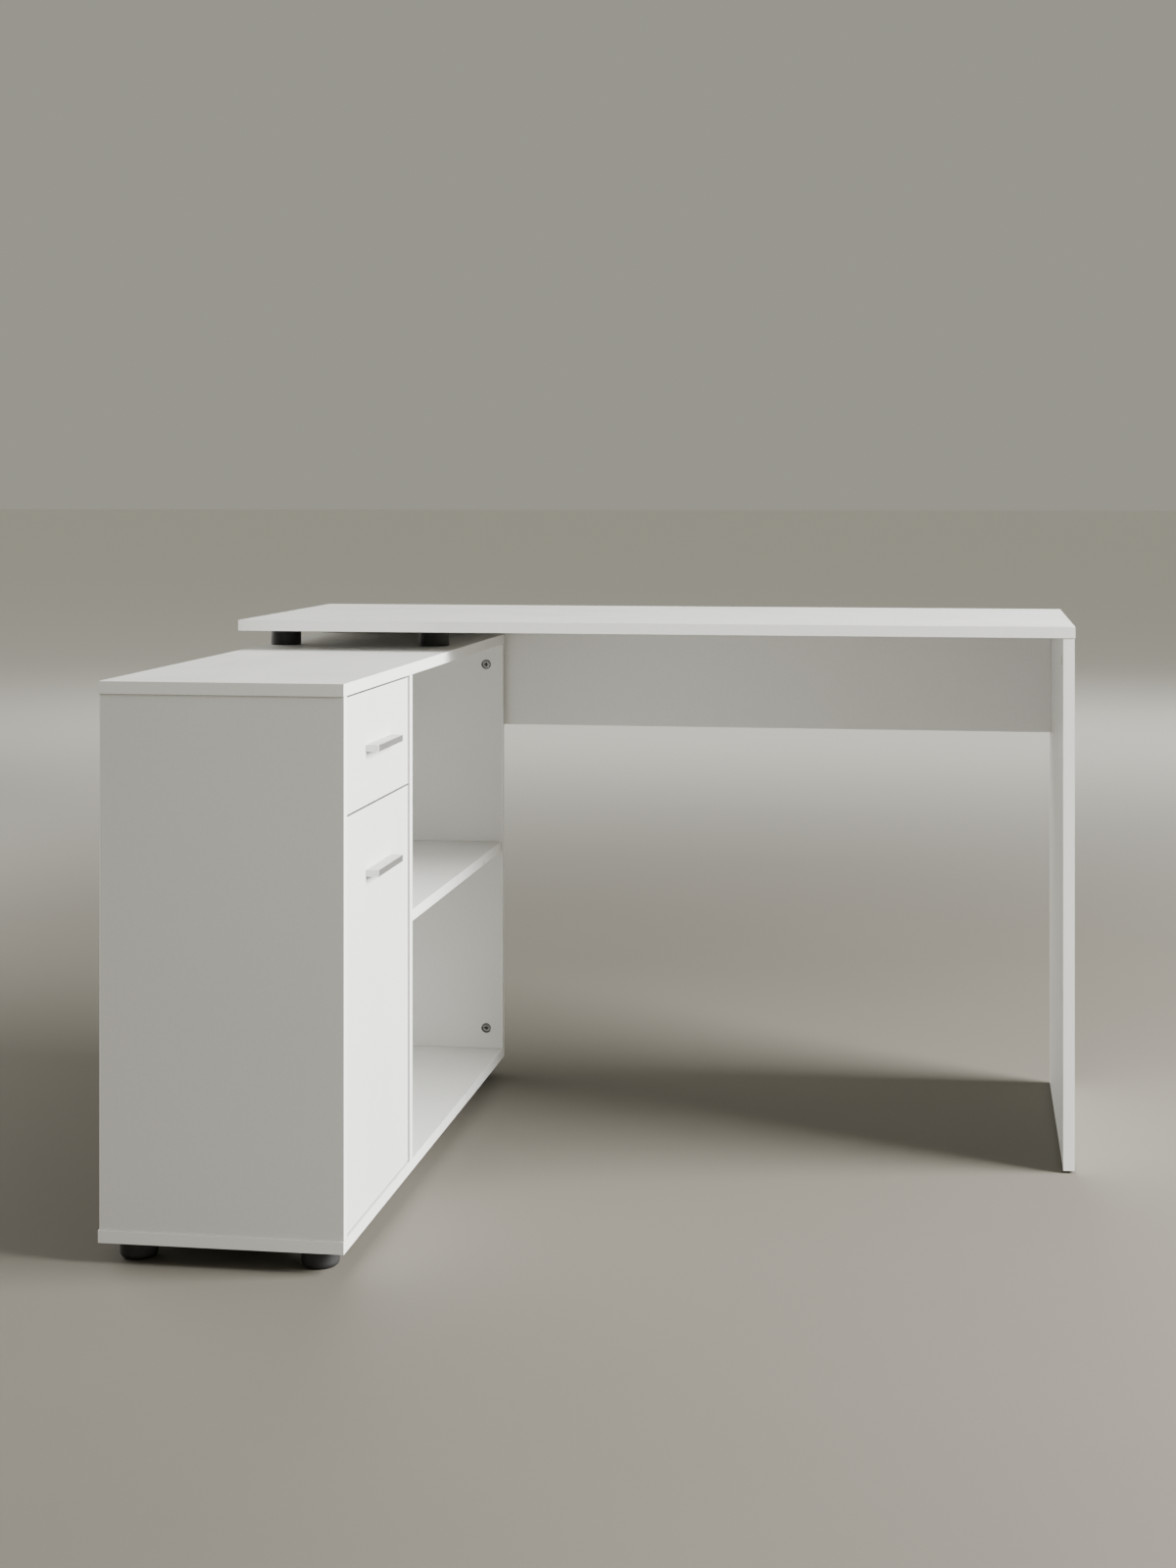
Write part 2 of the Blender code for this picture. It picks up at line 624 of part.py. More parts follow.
# ---------------------------------------------------------------- door
def make_door(white, aluminium, steel):
    door = board(
        "door_panel",
        (x_fronts_back, y_fronts_near, z_door_bottom),
        (x_fronts, y_fronts_far, z_door_top),
        white,
    )
    moving = [door, *add_handle("door_handle", door, z_door_top - DOOR_HANDLE_DROP, aluminium, steel)]
    y_cup = y_fronts_near + CUP_EDGE + CUP_RADIUS
    cup = [
        (CUP_RADIUS - CUP_WALL, -CUP_FLANGE - SEAT_GAP),
        (CUP_RADIUS + CUP_RIM, -CUP_FLANGE - SEAT_GAP),
        (CUP_RADIUS + CUP_RIM, -SEAT_GAP),
        (CUP_RADIUS, -SEAT_GAP),
        (CUP_RADIUS, CUP_DEPTH),
    ]
    heights = {"lower": z_door_bottom + HINGE_INSET, "upper": z_door_top - HINGE_INSET}
    for height, z_hinge in heights.items():
        place = (x_fronts_back, y_cup, z_hinge)
        name = f"hinge_cup_{height}"
        pocket_depth = CUP_DEPTH + SEAT_GAP
        drill([door], f"{name}_pocket", place, "+X", CUP_RADIUS, pocket_depth, CUP_DEPTH, ROUND_SIDES)
        shell = turned(name, cup, place, "+X", steel, ROUND_SIDES)
        hollow_radius = CUP_RADIUS - CUP_WALL - HOLE_CLEARANCE
        hollow_depth = CUP_DEPTH - CUP_WALL
        drill([shell], f"{name}_hollow", place, "+X", hollow_radius, hollow_depth, CUP_DEPTH, ROUND_SIDES)
        moving.append(shell)
        add_hinge_arm(f"hinge_arm_{height}", z_hinge, y_cup, steel)
    hang(moving, empty_at("door_hinge_axis", (x_fronts, y_fronts_near, z_door_bottom)))


def add_hinge_arm(name, z_hinge, y_cup, steel):
    """Cranked arm on its plate, from the near end panel to just behind the cup."""
    x_nose = x_fronts_back - SEAT_GAP - CUP_FLANGE - ARM_CLEARANCE
    x_tail = x_nose - ARM_LENGTH
    y_plate = y_bay_near + SEAT_GAP
    outline = [
        (x_tail, y_plate),
        (x_nose - 2 * ARM_NOSE, y_plate),
        (x_nose - 2 * ARM_NOSE, y_plate + ARM_PLATE),
        (x_nose, y_cup - ARM_NOSE),
        (x_nose, y_cup),
        (x_nose - ARM_NOSE, y_cup),
        (x_nose - 3 * ARM_NOSE, y_plate + ARM_WIDTH),
        (x_tail + ARM_NOSE, y_plate + ARM_WIDTH),
        (x_tail + ARM_NOSE, y_plate + ARM_PLATE),
        (x_tail, y_plate + ARM_PLATE),
    ]
    low = z_hinge - ARM_HEIGHT / 2
    prism(name, outline, "Z", low, low + ARM_HEIGHT, steel)


# ---------------------------------------------------------------- whole desk
def build():
    for old in list(bpy.data.objects):
        bpy.data.objects.remove(old, do_unlink=True)
    white = finish("white_melamine", (0.80, 0.80, 0.78), 0.42)
    back_white = finish("white_hardboard", (0.72, 0.72, 0.70), 0.60)
    black = finish("black_plastic", (0.02, 0.02, 0.02), 0.50)
    aluminium = finish("satin_aluminium", (0.62, 0.62, 0.62), 0.35, 1.0)
    steel = finish("zinc_plated_steel", (0.55, 0.55, 0.54), 0.40, 1.0)
    painted = finish("white_painted_steel", (0.75, 0.75, 0.74), 0.45)

    near_end, far_end, divider = make_carcass(white, back_white)
    make_cupboard_shelf(near_end, divider, white, steel)
    make_feet_and_spacers(black)
    make_desk(far_end, white, black, steel)
    add_far_end_cams(far_end, steel)
    make_drawer(white, back_white, aluminium, steel, painted, black)
    make_door(white, aluminium, steel)


build()
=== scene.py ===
# %% [markdown]
# # A white corner desk, finished around its CAD frame
#
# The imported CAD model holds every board, foot, runner and hinge of the desk in its real size and place.
# This lesson gives those pieces their looks: melamine with its edge bands, moulded plastic, brushed
# aluminium, plated steel. Where a fitting shows detail that the plain solid lacks, a finer piece takes
# the solid's place. Nothing is moved: each place is read from the frame.

# %% Load the frame
import math

import bmesh
import bpy
from mathutils import Matrix, Vector


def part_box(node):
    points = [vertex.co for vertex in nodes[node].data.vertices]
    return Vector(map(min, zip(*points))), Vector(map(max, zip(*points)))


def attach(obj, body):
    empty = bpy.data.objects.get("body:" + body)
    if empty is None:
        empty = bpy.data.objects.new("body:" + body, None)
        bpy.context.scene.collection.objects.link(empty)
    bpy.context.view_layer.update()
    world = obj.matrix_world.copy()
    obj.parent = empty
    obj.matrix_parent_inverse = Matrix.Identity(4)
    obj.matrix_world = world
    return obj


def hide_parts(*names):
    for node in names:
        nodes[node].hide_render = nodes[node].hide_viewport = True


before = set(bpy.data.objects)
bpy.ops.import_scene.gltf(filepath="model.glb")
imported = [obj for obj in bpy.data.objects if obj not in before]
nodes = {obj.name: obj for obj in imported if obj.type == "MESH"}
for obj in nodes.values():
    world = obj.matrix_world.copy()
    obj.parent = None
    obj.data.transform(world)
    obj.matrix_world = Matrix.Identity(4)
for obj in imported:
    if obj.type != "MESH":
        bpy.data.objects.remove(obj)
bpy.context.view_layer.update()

MM = 0.001

# %% [markdown]
# ## The camera
#
# The desk is seen from standing eye height, a little to the right of its middle, with its uprights
# truly upright. A photographer gets that with a level camera and a shifted lens; tilting the camera
# down would make the uprights lean. So the camera here is level too, and `shift_y` lowers the view.

# %% Camera, level, with a shifted lens
CAMERA_PLACE = (0.4283, -3.2518, 0.9161)
CAMERA_TURN = 0.1538
FOCAL_LENGTH = 55.0
SENSOR_WIDTH = 36.0
VIEW_DROP = -0.186


def add_camera():
    lens = bpy.data.cameras.new("eye_level")
    lens.lens = FOCAL_LENGTH
    lens.sensor_width = SENSOR_WIDTH
    lens.shift_y = VIEW_DROP
    camera = bpy.data.objects.new("eye_level", lens)
    camera.location = CAMERA_PLACE
    camera.rotation_euler = (math.pi / 2, 0.0, CAMERA_TURN)
    bpy.context.scene.collection.objects.link(camera)
    bpy.context.scene.camera = camera
    return camera


camera = add_camera()
print("camera at", [round(value, 3) for value in camera.location])

# %% [markdown]
# ## Wiring shaders by hand
#
# Every finish below is a small network of shader nodes. A few short helpers keep the networks readable:
# one links or sets a socket, and the others add a sum, a smooth step, a noise or a mix of two colours.
# Positions come from the Object coordinates. A CAD node's object stands at the origin, so there they are
# plain metres on the desk, and they stay with a board when its door or drawer moves.

# %% Helpers for shader nodes
def feed(tree, socket, value):
    """Link a node's output into socket, or set a plain number, vector or colour there."""
    if isinstance(value, bpy.types.NodeSocket):
        tree.links.new(value, socket)
    else:
        socket.default_value = value


def calc(tree, operation, *terms):
    node = tree.nodes.new("ShaderNodeMath")
    node.operation = operation
    for socket, term in zip(node.inputs, terms):
        feed(tree, socket, term)
    return node.outputs[0]


def calc_vector(tree, operation, *terms):
    node = tree.nodes.new("ShaderNodeVectorMath")
    node.operation = operation
    for socket, term in zip(node.inputs, terms):
        feed(tree, socket, term)
    return node.outputs["Vector"]


def smooth_step(tree, value, start, end, bottom=0.0, top=1.0):
    node = tree.nodes.new("ShaderNodeMapRange")
    node.interpolation_type = "SMOOTHSTEP"
    terms = {"Value": value, "From Min": start, "From Max": end, "To Min": bottom, "To Max": top}
    for name, term in terms.items():
        feed(tree, node.inputs[name], term)
    return node.outputs["Result"]


def noise(tree, place, scale, detail=2.0):
    node = tree.nodes.new("ShaderNodeTexNoise")
    feed(tree, node.inputs["Vector"], place)
    node.inputs["Scale"].default_value = scale
    node.inputs["Detail"].default_value = detail
    return node.outputs["Fac"]


def mix_colors(tree, factor, first, second):
    node = tree.nodes.new("ShaderNodeMix")
    node.data_type = "RGBA"
    feed(tree, node.inputs[0], factor)
    feed(tree, node.inputs[6], first)
    feed(tree, node.inputs[7], second)
    return node.outputs[2]


def here(tree):
    return tree.nodes.new("ShaderNodeTexCoord").outputs["Object"]


def new_group(name, inputs, outputs):
    """An empty shader node group, with its inputs' outputs and its outputs' inputs by name."""
    group = bpy.data.node_groups.new(name, "ShaderNodeTree")
    for label, kind in inputs.items():
        group.interface.new_socket(label, in_out="INPUT", socket_type=f"NodeSocket{kind}")
    for label in outputs:
        group.interface.new_socket(label, in_out="OUTPUT", socket_type="NodeSocketFloat")
    entry = group.nodes.new("NodeGroupInput")
    leave = group.nodes.new("NodeGroupOutput")
    return group, entry.outputs, leave.inputs


def place_group(tree, group, terms):
    node = tree.nodes.new("ShaderNodeGroup")
    node.node_tree = group
    for label, term in terms.items():
        feed(tree, node.inputs[label], term)
    return node.outputs


def new_finish(name, roughness, metallic=0.0):
    """A material with its own Principled shader, and its tree."""
    material = bpy.data.materials.new(name)
    material.use_nodes = True
    tree = material.node_tree
    shader = tree.nodes["Principled BSDF"]
    shader.inputs["Roughness"].default_value = roughness
    shader.inputs["Metallic"].default_value = metallic
    return material, tree, shader


def emboss(tree, shader, height, depth, strength=1.0):
    """Let height, from 0 to 1, stand `depth` metres out of the surface."""
    bump = tree.nodes.new("ShaderNodeBump")
    bump.inputs["Strength"].default_value = strength
    bump.inputs["Distance"].default_value = depth
    feed(tree, bump.inputs["Height"], height)
    tree.links.new(bump.outputs["Normal"], shader.inputs["Normal"])


print("shader helpers ready")

# %% [markdown]
# ## Melamine board
#
# Each panel is chipboard pressed between two sheets of white melamine paper, and its showing edges carry
# a plastic band glued on by a machine. Up close that gives four things: a fine pearl grain on the faces,
# a glossier band, a hairline where band and face meet, and brown chips wherever a hole, a groove or an
# unbanded edge opens the core. The band is also painted brighter than the faces: partly its own lighter
# tone, and partly a painted highlight that stands in for the light its rounded corners catch.
#
# Painting those by hand would need unwrapped images. Here the board's own box says where each belongs: a
# node group measures how far a point lies from the box's sides and puts out one mask for each. The same
# group then serves every board, and only its corners change.

# %% Where the band, the hairline and the bare core are
BAND_THICKNESS = 1.5 * MM
HAIRLINE = 0.12 * MM
BARE_DEPTH = 0.45 * MM
FAR_AWAY = 10.0


def nearest_side(tree, place, low, high):
    inside = calc_vector(tree, "MINIMUM", calc_vector(tree, "SUBTRACT", place, low),
                         calc_vector(tree, "SUBTRACT", high, place))
    parts = tree.nodes.new("ShaderNodeSeparateXYZ")
    tree.links.new(inside, parts.inputs[0])
    return calc(tree, "MINIMUM", calc(tree, "MINIMUM", parts.outputs[0], parts.outputs[1]), parts.outputs[2])


def make_board_masks():
    boxes = ("Low", "High", "Band Low", "Band High", "Bare Low", "Bare High")
    inputs = {"Place": "Vector"}
    inputs.update({label: "Vector" for label in boxes})
    tree, given, out = new_group("board_masks", inputs, ("Band", "Hairline", "Core"))
    to_skin = nearest_side(tree, given["Place"], given["Low"], given["High"])
    to_band = nearest_side(tree, given["Place"], given["Band Low"], given["Band High"])
    to_bare = nearest_side(tree, given["Place"], given["Bare Low"], given["Bare High"])
    band = smooth_step(tree, to_band, BAND_THICKNESS, BAND_THICKNESS + HAIRLINE, 1.0, 0.0)
    off_line = calc(tree, "ABSOLUTE", calc(tree, "SUBTRACT", to_band, BAND_THICKNESS))
    line = smooth_step(tree, off_line, 0.0, HAIRLINE, 1.0, 0.0)
    hollow = smooth_step(tree, to_skin, BARE_DEPTH, 2 * BARE_DEPTH)
    bare_edge = smooth_step(tree, to_bare, 0.05 * MM, 0.1 * MM, 1.0, 0.0)
    tree.links.new(band, out["Band"])
    tree.links.new(line, out["Hairline"])
    tree.links.new(calc(tree, "MAXIMUM", hollow, bare_edge), out["Core"])
    return tree


board_masks = make_board_masks()
print("group", board_masks.name, "puts out", [item.name for item in board_masks.interface.items_tree][:3])


# %% The pearl grain of the faces, and the chips of the core
def make_pearl():
    group, given, out = new_group("pearl_grain", {"Place": "Vector"}, ("Relief", "Drift", "Handling"))
    fine = noise(group, given["Place"], 1500.0, 1.0)
    coarse = noise(group, given["Place"], 420.0, 2.0)
    relief = calc(group, "ADD", calc(group, "MULTIPLY", fine, 0.55), calc(group, "MULTIPLY", coarse, 0.45))
    group.links.new(relief, out["Relief"])
    cloudy = noise(group, given["Place"], 2.3, 3.0)
    speckled = noise(group, given["Place"], 240.0, 3.0)
    drift = calc(group, "ADD", calc(group, "MULTIPLY", cloudy, 0.45), calc(group, "MULTIPLY", speckled, 0.55))
    group.links.new(smooth_step(group, drift, 0.3, 0.7), out["Drift"])
    wiped = noise(group, calc_vector(group, "MULTIPLY", given["Place"], (9.0, 9.0, 3.0)), 1.0, 4.0)
    group.links.new(smooth_step(group, wiped, 0.42, 0.72), out["Handling"])
    return group


def make_chips():
    group, given, out = new_group("chipboard", {"Place": "Vector"}, ("Chips", "Pits"))
    flakes = group.nodes.new("ShaderNodeTexVoronoi")
    group.links.new(given["Place"], flakes.inputs["Vector"])
    flakes.inputs["Scale"].default_value = 620.0
    shade = group.nodes.new("ShaderNodeSeparateColor")
    group.links.new(flakes.outputs["Color"], shade.inputs[0])
    group.links.new(shade.outputs[0], out["Chips"])
    group.links.new(smooth_step(group, flakes.outputs["Distance"], 0.15, 0.7), out["Pits"])
    return group


pearl_grain = make_pearl()
chipboard = make_chips()
print("groups", pearl_grain.name, "and", chipboard.name)

# %% [markdown]
# A board's material places the three groups and mixes its colours by their masks. Which edges carry a
# band is a choice for each board: those that show. The top and bottom ends of an upright stand against
# another board, so they stay bare, as a factory leaves them to save tape. The drawer front and the door
# have painted shade on the edges behind their front corner: a dark grey that is not a finish of the real
# desk, but stands in for the shade in the narrow gaps around them, so that the gaps read as thin grey
# lines when they are shut.

# %% One melamine material for each board
WHITE_FACE = (0.775, 0.775, 0.755, 1.0)
WHITE_FACE_WARM = (0.745, 0.742, 0.715, 1.0)
# the band's colour: partly its own lighter tone, partly a painted highlight along the edges
WHITE_BAND_AND_PAINTED_HIGHLIGHT = (0.88, 0.88, 0.865, 1.0)
# painted shade: a dark grey for the edges in the gaps round the drawer front and the door
GAP_PAINTED_SHADE = (0.24, 0.237, 0.23, 1.0)
ARRIS = 1.4 * MM
HAIRLINE_GREY = (0.42, 0.41, 0.38, 1.0)
CHIP_LIGHT = (0.44, 0.29, 0.16, 1.0)
CHIP_DARK = (0.16, 0.09, 0.045, 1.0)
AXES = "xyz"
HUNG_FRONTS = ("drawer_front", "door_panel")


def board_boxes(node, bare):
    """The board's box, its box with only banded sides near, and its box with only bare sides near."""
    low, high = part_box(node)
    size = high - low
    thin = min(range(3), key=lambda axis: size[axis])
    band_low, band_high = [-FAR_AWAY] * 3, [FAR_AWAY] * 3
    bare_low, bare_high = [-FAR_AWAY] * 3, [FAR_AWAY] * 3
    for axis in range(3):
        if axis == thin:
            continue
        if "-" + AXES[axis] in bare:
            bare_low[axis] = low[axis]
        else:
            band_low[axis] = low[axis]
        if "+" + AXES[axis] in bare:
            bare_high[axis] = high[axis]
        else:
            band_high[axis] = high[axis]
    return {
        "Low": low, "High": high, "Band Low": band_low, "Band High": band_high,
        "Bare Low": bare_low, "Bare High": bare_high,
    }


def melamine(node, bare):
    material, tree, shader = new_finish(f"white_melamine_{node}", 0.4)
    place = here(tree)
    masks = place_group(tree, board_masks, {"Place": place, **board_boxes(node, bare)})
    pearl = place_group(tree, pearl_grain, {"Place": place})
    chips = place_group(tree, chipboard, {"Place": place})
    face = mix_colors(tree, pearl["Drift"], WHITE_FACE, WHITE_FACE_WARM)
    band = WHITE_BAND_AND_PAINTED_HIGHLIGHT
    # painted shade: on the hung fronts the edges behind the front corner turn dark grey, standing in for the
    # shade inside the gaps
    if node in HUNG_FRONTS:
        x_here = tree.nodes.new("ShaderNodeSeparateXYZ")
        tree.links.new(place, x_here.inputs[0])
        x_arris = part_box(node)[1].x - ARRIS
        behind = smooth_step(tree, x_here.outputs[0], x_arris - 0.3 * MM, x_arris, 1.0, 0.0)
        band = mix_colors(tree, behind, WHITE_BAND_AND_PAINTED_HIGHLIGHT, GAP_PAINTED_SHADE)
    # in the band's strip the colour is the band's: its own lighter tone plus a painted highlight along the
    # edge
    skin = mix_colors(tree, masks["Band"], face, band)
    lined = mix_colors(tree, calc(tree, "MULTIPLY", masks["Hairline"], 0.6), skin, HAIRLINE_GREY)
    core = mix_colors(tree, chips["Chips"], CHIP_DARK, CHIP_LIGHT)
    feed(tree, shader.inputs["Base Color"], mix_colors(tree, masks["Core"], lined, core))
    skin_gloss = smooth_step(tree, masks["Band"], 0.0, 1.0, 0.40, 0.32)
    wiped_gloss = calc(tree, "MULTIPLY_ADD", pearl["Handling"], -0.06, skin_gloss)
    gloss = calc(tree, "MULTIPLY_ADD", masks["Core"], 0.5, wiped_gloss)
    feed(tree, shader.inputs["Roughness"], gloss)
    pits = calc(tree, "MULTIPLY", chips["Pits"], masks["Core"])
    height = calc(tree, "MULTIPLY_ADD", pits, 6.0, pearl["Relief"])
    emboss(tree, shader, height, 0.02 * MM, 0.6)
    return material


BARE_SIDES = {
    "cabinet_top_panel": (),
    "cabinet_bottom_panel": (),
    "near_end_panel": ("-z", "+z"),
    "far_end_panel": ("-z", "+z"),
    "divider_panel": ("-x", "-z", "+z"),
    "open_bay_shelf": ("-x", "-y", "+y"),
    "cupboard_shelf": ("-x",),
    "desktop": (),
    "leg_panel": ("-z", "+z"),
    "modesty_panel": ("+z", "+x"),
    "drawer_front": (),
    "door_panel": (),
    "drawer_side_near": ("-x", "+x"),
    "drawer_side_far": ("-x", "+x"),
    "drawer_back": ("-y", "+y", "-z"),
}


def dress(node, material):
    """Give a CAD node's object its finish."""
    slots = nodes[node].data.materials
    slots.clear()
    slots.append(material)


for node, bare in BARE_SIDES.items():
    dress(node, melamine(node, bare))
print("melamine on", len(BARE_SIDES), "boards")

# %% [markdown]
# A band's outer corners are rounded over by a scraper, to a radius of under a millimetre. That tiny
# round is what catches the light along every edge, and a perfectly sharp edge looks computed. A Bevel
# modifier rounds the corners without touching the CAD mesh, and a Weighted Normal modifier after it keeps
# the big faces flat.

# %% Round every board's corners
CORNER = 0.9 * MM
DRAWER_CORNER = 0.4 * MM


def soften(piece, width, segments=2):
    bevel = piece.modifiers.new("scraped_corners", "BEVEL")
    bevel.width = width
    bevel.segments = segments
    bevel.limit_method = "ANGLE"
    bevel.angle_limit = math.radians(35)
    bevel.use_clamp_overlap = False
    bevel.harden_normals = False
    normals = piece.modifiers.new("flat_faces", "WEIGHTED_NORMAL")
    normals.keep_sharp = True


for node in BARE_SIDES:
    soften(nodes[node], DRAWER_CORNER if node.startswith("drawer_side") else CORNER)
print("corners rounded to", CORNER, "m")

# %% [markdown]
# ## Hardboard back and drawer bottom
#
# Thin hardboard is lacquered white on the side that shows inside the cupboard and the drawer, and left
# raw brown on the other. Its raw side also keeps the print of the wire screen that it was pressed on.
# One material can give both sides when it asks how far a point lies through the sheet's thickness, and
# the screen is a product of two sine waves used as a height.

# %% White on one side, brown with a screen print on the other
HARDBOARD_WHITE = (0.76, 0.76, 0.74, 1.0)
RAW_BROWN = (0.27, 0.158, 0.084, 1.0)
RAW_LIGHT = (0.40, 0.25, 0.14, 1.0)
SCREEN_PITCH = 1.6 * MM


def wave(tree, value, pitch):
    return calc(tree, "SINE", calc(tree, "MULTIPLY", value, 2 * math.pi / pitch))


def hardboard(node, axis, white_is_high):
    low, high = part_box(node)
    material, tree, shader = new_finish(f"hardboard_{node}", 0.5)
    place = here(tree)
    parts = tree.nodes.new("ShaderNodeSeparateXYZ")
    tree.links.new(place, parts.inputs[0])
    across = [number for number in range(3) if number != axis]
    skin = 0.25 * MM
    if white_is_high:
        lacquer = smooth_step(tree, parts.outputs[axis], high[axis] - 2 * skin, high[axis] - skin)
    else:
        lacquer = smooth_step(tree, parts.outputs[axis], low[axis] + skin, low[axis] + 2 * skin, 1.0, 0.0)
    raw = calc(tree, "SUBTRACT", 1.0, lacquer)
    pearl = place_group(tree, pearl_grain, {"Place": place})
    fibres = calc_vector(tree, "MULTIPLY", place, (1.0, 1.0, 0.35))
    brown = mix_colors(tree, noise(tree, fibres, 260.0, 6.0), RAW_BROWN, RAW_LIGHT)
    feed(tree, shader.inputs["Base Color"], mix_colors(tree, lacquer, brown, HARDBOARD_WHITE))
    feed(tree, shader.inputs["Roughness"], smooth_step(tree, lacquer, 0.0, 1.0, 0.78, 0.42))
    screen = calc(tree, "MULTIPLY", wave(tree, parts.outputs[across[0]], SCREEN_PITCH),
                  wave(tree, parts.outputs[across[1]], SCREEN_PITCH))
    height = calc(tree, "MULTIPLY_ADD", calc(tree, "MULTIPLY", screen, raw), 4.0, pearl["Relief"])
    emboss(tree, shader, height, 0.02 * MM, 0.7)
    return material


dress("back_panel", hardboard("back_panel", 0, True))
dress("drawer_bottom", hardboard("drawer_bottom", 2, True))
print("hardboard on back_panel and drawer_bottom")

# %% [markdown]
# ## Plastics and metals
#
# The fittings use six finishes. Moulded black plastic has a fine spark-eroded grain from its mould.
# Anodised aluminium is brushed along its length first, so its grain is a noise stretched out along Y.
# Zinc plating has a soft mottle of grey, and the cast cams a darker, rougher one. Powder coat dries with
# a slight orange peel, which is a low, wide noise used as a height.

# %% Six finishes for the fittings
BLACK = (0.012, 0.012, 0.013, 1.0)
BLACK_WORN = (0.024, 0.024, 0.025, 1.0)
ALUMINIUM = (0.53, 0.53, 0.54, 1.0)
ALUMINIUM_LIGHT = (0.66, 0.66, 0.665, 1.0)
ZINC_DARK = (0.36, 0.365, 0.37, 1.0)
ZINC_LIGHT = (0.56, 0.565, 0.57, 1.0)
CAST_DARK = (0.24, 0.24, 0.235, 1.0)
CAST_LIGHT = (0.45, 0.45, 0.44, 1.0)
POWDER_WHITE = (0.73, 0.73, 0.715, 1.0)
POWDER_SHADE = (0.69, 0.69, 0.67, 1.0)


def moulded_plastic(name, dark, light, roughness):
    material, tree, shader = new_finish(name, roughness)
    place = here(tree)
    feed(tree, shader.inputs["Base Color"], mix_colors(tree, noise(tree, place, 35.0, 4.0), dark, light))
    handled = noise(tree, place, 60.0, 3.0)
    gloss = smooth_step(tree, handled, 0.3, 0.7, roughness - 0.06, roughness + 0.06)
    feed(tree, shader.inputs["Roughness"], gloss)
    emboss(tree, shader, noise(tree, place, 2200.0, 2.0), 0.03 * MM, 0.8)
    return material


def brushed_aluminium():
    material, tree, shader = new_finish("satin_aluminium", 0.34, 1.0)
    strokes = calc_vector(tree, "MULTIPLY", here(tree), (2600.0, 14.0, 2600.0))
    grain = noise(tree, strokes, 1.0, 3.0)
    feed(tree, shader.inputs["Base Color"], mix_colors(tree, grain, ALUMINIUM, ALUMINIUM_LIGHT))
    feed(tree, shader.inputs["Roughness"], smooth_step(tree, grain, 0.25, 0.75, 0.30, 0.44))
    emboss(tree, shader, grain, 0.012 * MM, 0.7)
    return material


def zinc_finish(name, dark, light, roughness):
    material, tree, shader = new_finish(name, roughness, 1.0)
    place = here(tree)
    mottle = noise(tree, place, 240.0, 4.0)
    feed(tree, shader.inputs["Base Color"], mix_colors(tree, mottle, dark, light))
    gloss = smooth_step(tree, mottle, 0.3, 0.7, roughness - 0.06, roughness + 0.12)
    feed(tree, shader.inputs["Roughness"], gloss)
    emboss(tree, shader, noise(tree, place, 1400.0, 2.0), 0.01 * MM, 0.6)
    return material


def powder_coat():
    material, tree, shader = new_finish("white_powder_coat", 0.38)
    place = here(tree)
    shade = mix_colors(tree, noise(tree, place, 30.0, 3.0), POWDER_SHADE, POWDER_WHITE)
    feed(tree, shader.inputs["Base Color"], shade)
    gloss = smooth_step(tree, noise(tree, place, 90.0, 2.0), 0.3, 0.7, 0.33, 0.43)
    feed(tree, shader.inputs["Roughness"], gloss)
    emboss(tree, shader, noise(tree, place, 700.0, 1.0), 0.05 * MM, 0.7)
    return material


black_plastic = moulded_plastic("black_plastic", BLACK, BLACK_WORN, 0.58)
nylon = moulded_plastic("black_nylon", (0.02, 0.02, 0.021, 1.0), (0.035, 0.035, 0.036, 1.0), 0.36)
aluminium = brushed_aluminium()
zinc = zinc_finish("zinc_plated_steel", ZINC_DARK, ZINC_LIGHT, 0.34)
cast_zinc = zinc_finish("cast_zinc", CAST_DARK, CAST_LIGHT, 0.5)
powder = powder_coat()
print("finishes:", [item.name for item in (black_plastic, nylon, aluminium, zinc, cast_zinc, powder)])

# %% [markdown]
# ## Turned pieces
#
# Feet, spacers, cams, screws, rollers, pins and hinge cups are all round about one axis. On a lathe, or in
# a lathe-like mould, each is one profile turned about that axis. The same works in mesh code: a ring of
# points for each corner of the profile, and a skin of faces between neighbouring rings. It is cleaner than
# a cylinder primitive with cuts, because every corner's rounding is in the profile.
#
# A piece is made standing on its own +Z axis with its outer end at zero, and is then swung to face the way
# its CAD node faces.

# %% A lathe in mesh code
ROUND = 64
SMALL_ROUND = 40


def corner(radius, height, round_by, start, end, steps=4):
    """Points of a quarter round about (radius, height), from start to end degrees."""
    points = []
    for step in range(steps + 1):
        angle = math.radians(start + (end - start) * step / steps)
        points.append((radius + round_by * math.cos(angle), height + round_by * math.sin(angle)))
    return points


def lathe(bm, profile, sides, closed=False):
    rings = []
    for radius, height in profile:
        angles = [2 * math.pi * step / sides for step in range(sides)]
        rings.append([bm.verts.new((radius * math.cos(a), radius * math.sin(a), height)) for a in angles])
    pairs = list(zip(rings, rings[1:]))
    if closed:
        pairs.append((rings[-1], rings[0]))
    for first, second in pairs:
        for step in range(sides):
            after = (step + 1) % sides
            bm.faces.new((first[step], first[after], second[after], second[step]))
    return rings


def cap(bm, ring):
    bm.faces.new(ring)


def cross_shape(reach, arm):
    half = arm / 2
    return [
        (reach, -half), (reach, half), (half, half), (half, reach), (-half, reach), (-half, half),
        (-reach, half), (-reach, -half), (-half, -half), (-half, -reach), (half, -reach), (half, -half),
    ]


def loop_edges(bm, ring):
    pairs = zip(ring, ring[1:] + ring[:1])
    return [bm.edges.get(pair) or bm.edges.new(pair) for pair in pairs]


